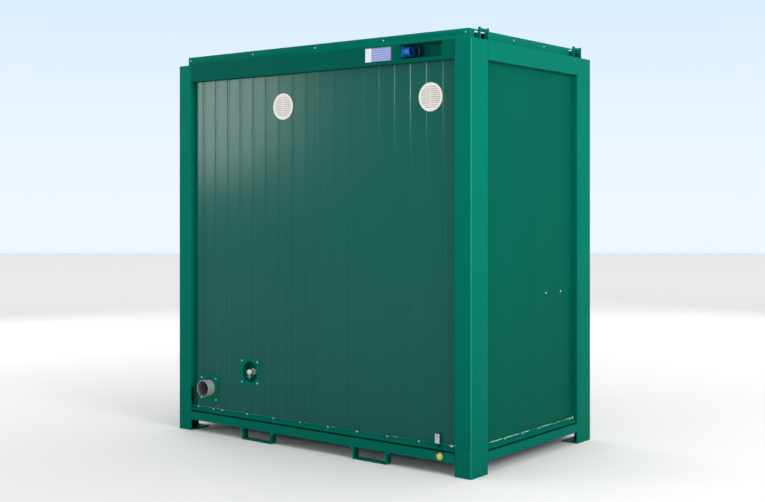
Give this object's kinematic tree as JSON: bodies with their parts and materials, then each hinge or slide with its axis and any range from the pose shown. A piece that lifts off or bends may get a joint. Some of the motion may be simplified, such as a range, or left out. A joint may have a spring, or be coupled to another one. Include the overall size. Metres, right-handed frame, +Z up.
{
  "type": "portable toilet cabin",
  "caption": "Steel-framed container toilet cabin with two cubicles, service connections on one long side, fork pockets and lifting points.",
  "frame": {"origin": "on the ground under the middle of the cabin", "axes": "X along the long sides, +Y towards the doors (the service side is at -Y), +Z up"},
  "size_m": [2.4, 1.446, 2.55],
  "materials": {
    "frame_paint": "satin",
    "wall_paint": "satin",
    "plate_paint": "satin",
    "bare_steel": "satin",
    "screw_steel": "satin",
    "door_metal": "satin",
    "floor_wood": "matte",
    "vinyl": "matte",
    "foam": "matte",
    "lining": "satin",
    "sandwich": "satin",
    "ceiling_board": "matte",
    "white_plastic": "gloss",
    "seat_plastic": "gloss",
    "pipe_grey": "satin",
    "copper_brass": "satin",
    "valve_metal": "polished",
    "inlet_blue": "satin",
    "label_sheet": "satin",
    "earth_metal": "satin",
    "ceramic": "gloss",
    "chrome": "polished",
    "fittings_steel": "satin",
    "lamp_cover": "matte",
    "unit_plastic": "satin",
    "clear_flap": "gloss"
  },
  "bodies": {
    "cabin": {"base_flashings": "frame_paint", "basin_taps": "chrome", "bottom_rails": "frame_paint", "ceiling_lights": "lamp_cover", "ceiling_panels": "ceiling_board", "cisterns": "ceramic", "consumer_unit": "unit_plastic", "corner_feet": "frame_paint", "corner_posts": "frame_paint", "cross_beams": "frame_paint", "door_frames": "frame_paint", "earthing_point": "earth_metal", "end_wall_panels": "wall_paint", "floor_board": "floor_wood", "floor_covering": "vinyl", "fork_pockets": "frame_paint", "frame_fittings": "bare_steel", "front_wall_panels": "wall_paint", "inlet_pocket": "frame_paint", "insulation": "foam", "label_plate": "label_sheet", "lifting_bails": "frame_paint", "partition_wall": "sandwich", "power_inlet": "inlet_blue", "rear_wall_panels": "wall_paint", "roof_sheet": "bare_steel", "roof_trim": "frame_paint", "service_plates": "plate_paint", "toilet_pans": "ceramic", "top_rails": "frame_paint", "trim_screws": "screw_steel", "underfloor_sheet": "bare_steel", "wall_linings": "lining", "wall_vents": "white_plastic", "wash_basins": "ceramic", "washroom_fittings": "fittings_steel", "waste_pipes": "pipe_grey", "water_inlet": "valve_metal", "water_pipes": "copper_brass"},
    "door_left": {"door_leaf_left": "wall_paint", "door_fittings_left": "bare_steel"},
    "door_lever_left": {"door_lever_left": "door_metal"},
    "lock_bolt_left": {"lock_bolt_left": "bare_steel"},
    "privacy_bolt_left": {"privacy_bolt_left": "bare_steel"},
    "toilet_seat_left": {"toilet_seat_left": "seat_plastic"},
    "toilet_lid_left": {"toilet_lid_left": "seat_plastic"},
    "flush_button_left": {"flush_button_left": "chrome"},
    "tap_lever_left": {"tap_lever_left": "chrome"},
    "door_right": {"door_leaf_right": "wall_paint", "door_fittings_right": "bare_steel"},
    "door_lever_right": {"door_lever_right": "door_metal"},
    "lock_bolt_right": {"lock_bolt_right": "bare_steel"},
    "privacy_bolt_right": {"privacy_bolt_right": "bare_steel"},
    "toilet_seat_right": {"toilet_seat_right": "seat_plastic"},
    "toilet_lid_right": {"toilet_lid_right": "seat_plastic"},
    "flush_button_right": {"flush_button_right": "chrome"},
    "tap_lever_right": {"tap_lever_right": "chrome"},
    "water_valve_lever": {"water_valve_lever": "bare_steel"},
    "inlet_lid": {"inlet_lid": "inlet_blue"},
    "consumer_flap": {"consumer_flap": "clear_flap"}
  },
  "joints": [
    {"name": "door_left_hinge", "type": "hinge", "parent": "cabin", "child": "door_left", "pos_m": [-0.9445, 0.675, 1.159], "axis": [0, 0, 1], "range_deg": [0, 110]},
    {"name": "door_lever_left_turn", "type": "hinge", "parent": "door_left", "child": "door_lever_left", "pos_m": [-0.2225, 0.643, 1.153], "axis": [0, 1, 0], "range_deg": [0, 45]},
    {"name": "lock_bolt_left_slide", "type": "slide", "parent": "door_left", "child": "lock_bolt_left", "axis": [1, 0, 0], "range_m": [0, 0.016]},
    {"name": "privacy_bolt_left_slide", "type": "slide", "parent": "door_left", "child": "privacy_bolt_left", "axis": [1, 0, 0], "range_m": [0, 0.02]},
    {"name": "toilet_seat_left_hinge", "type": "hinge", "parent": "cabin", "child": "toilet_seat_left", "pos_m": [-0.685, -0.393, 0.565], "axis": [1, 0, 0], "range_deg": [0, 90]},
    {"name": "toilet_lid_left_hinge", "type": "hinge", "parent": "cabin", "child": "toilet_lid_left", "pos_m": [-0.685, -0.393, 0.565], "axis": [1, 0, 0], "range_deg": [-94, 0]},
    {"name": "flush_button_left_press", "type": "slide", "parent": "cabin", "child": "flush_button_left", "axis": [0, 0, -1], "range_m": [0, 0.006], "stiffness_N_per_m": 400, "springref_m": -0.002},
    {"name": "tap_lever_left_turn", "type": "hinge", "parent": "cabin", "child": "tap_lever_left", "pos_m": [-0.225, -0.549, 1.073], "axis": [0, 0, 1], "range_deg": [0, 90]},
    {"name": "door_right_hinge", "type": "hinge", "parent": "cabin", "child": "door_right", "pos_m": [0.9445, 0.675, 1.159], "axis": [0, 0, -1], "range_deg": [0, 110]},
    {"name": "door_lever_right_turn", "type": "hinge", "parent": "door_right", "child": "door_lever_right", "pos_m": [0.2225, 0.643, 1.153], "axis": [0, -1, 0], "range_deg": [0, 45]},
    {"name": "lock_bolt_right_slide", "type": "slide", "parent": "door_right", "child": "lock_bolt_right", "axis": [-1, 0, 0], "range_m": [0, 0.016]},
    {"name": "privacy_bolt_right_slide", "type": "slide", "parent": "door_right", "child": "privacy_bolt_right", "axis": [-1, 0, 0], "range_m": [0, 0.02]},
    {"name": "toilet_seat_right_hinge", "type": "hinge", "parent": "cabin", "child": "toilet_seat_right", "pos_m": [0.42, -0.393, 0.565], "axis": [1, 0, 0], "range_deg": [0, 90]},
    {"name": "toilet_lid_right_hinge", "type": "hinge", "parent": "cabin", "child": "toilet_lid_right", "pos_m": [0.42, -0.393, 0.565], "axis": [1, 0, 0], "range_deg": [-94, 0]},
    {"name": "flush_button_right_press", "type": "slide", "parent": "cabin", "child": "flush_button_right", "axis": [0, 0, -1], "range_m": [0, 0.006], "stiffness_N_per_m": 400, "springref_m": -0.002},
    {"name": "tap_lever_right_turn", "type": "hinge", "parent": "cabin", "child": "tap_lever_right", "pos_m": [0.88, -0.549, 1.073], "axis": [0, 0, 1], "range_deg": [0, 90]},
    {"name": "water_valve_turn", "type": "hinge", "parent": "cabin", "child": "water_valve_lever", "pos_m": [-0.556, -0.672, 0.4], "axis": [0, 0, 1], "range_deg": [0, 90]},
    {"name": "inlet_lid_hinge", "type": "hinge", "parent": "cabin", "child": "inlet_lid", "pos_m": [0.7455, -0.6123, 2.438], "axis": [0, 0, 1], "range_deg": [-55, 20]},
    {"name": "consumer_flap_hinge", "type": "hinge", "parent": "cabin", "child": "consumer_flap", "pos_m": [0.5, -0.4997, 2.163], "axis": [1, 0, 0], "range_deg": [0, 100]}
  ],
  "couplings": [
    {"joint": "lock_bolt_left_slide", "follows": "door_lever_left_turn", "m_per_rad": 0.02037},
    {"joint": "lock_bolt_right_slide", "follows": "door_lever_right_turn", "m_per_rad": 0.02037}
  ]
}
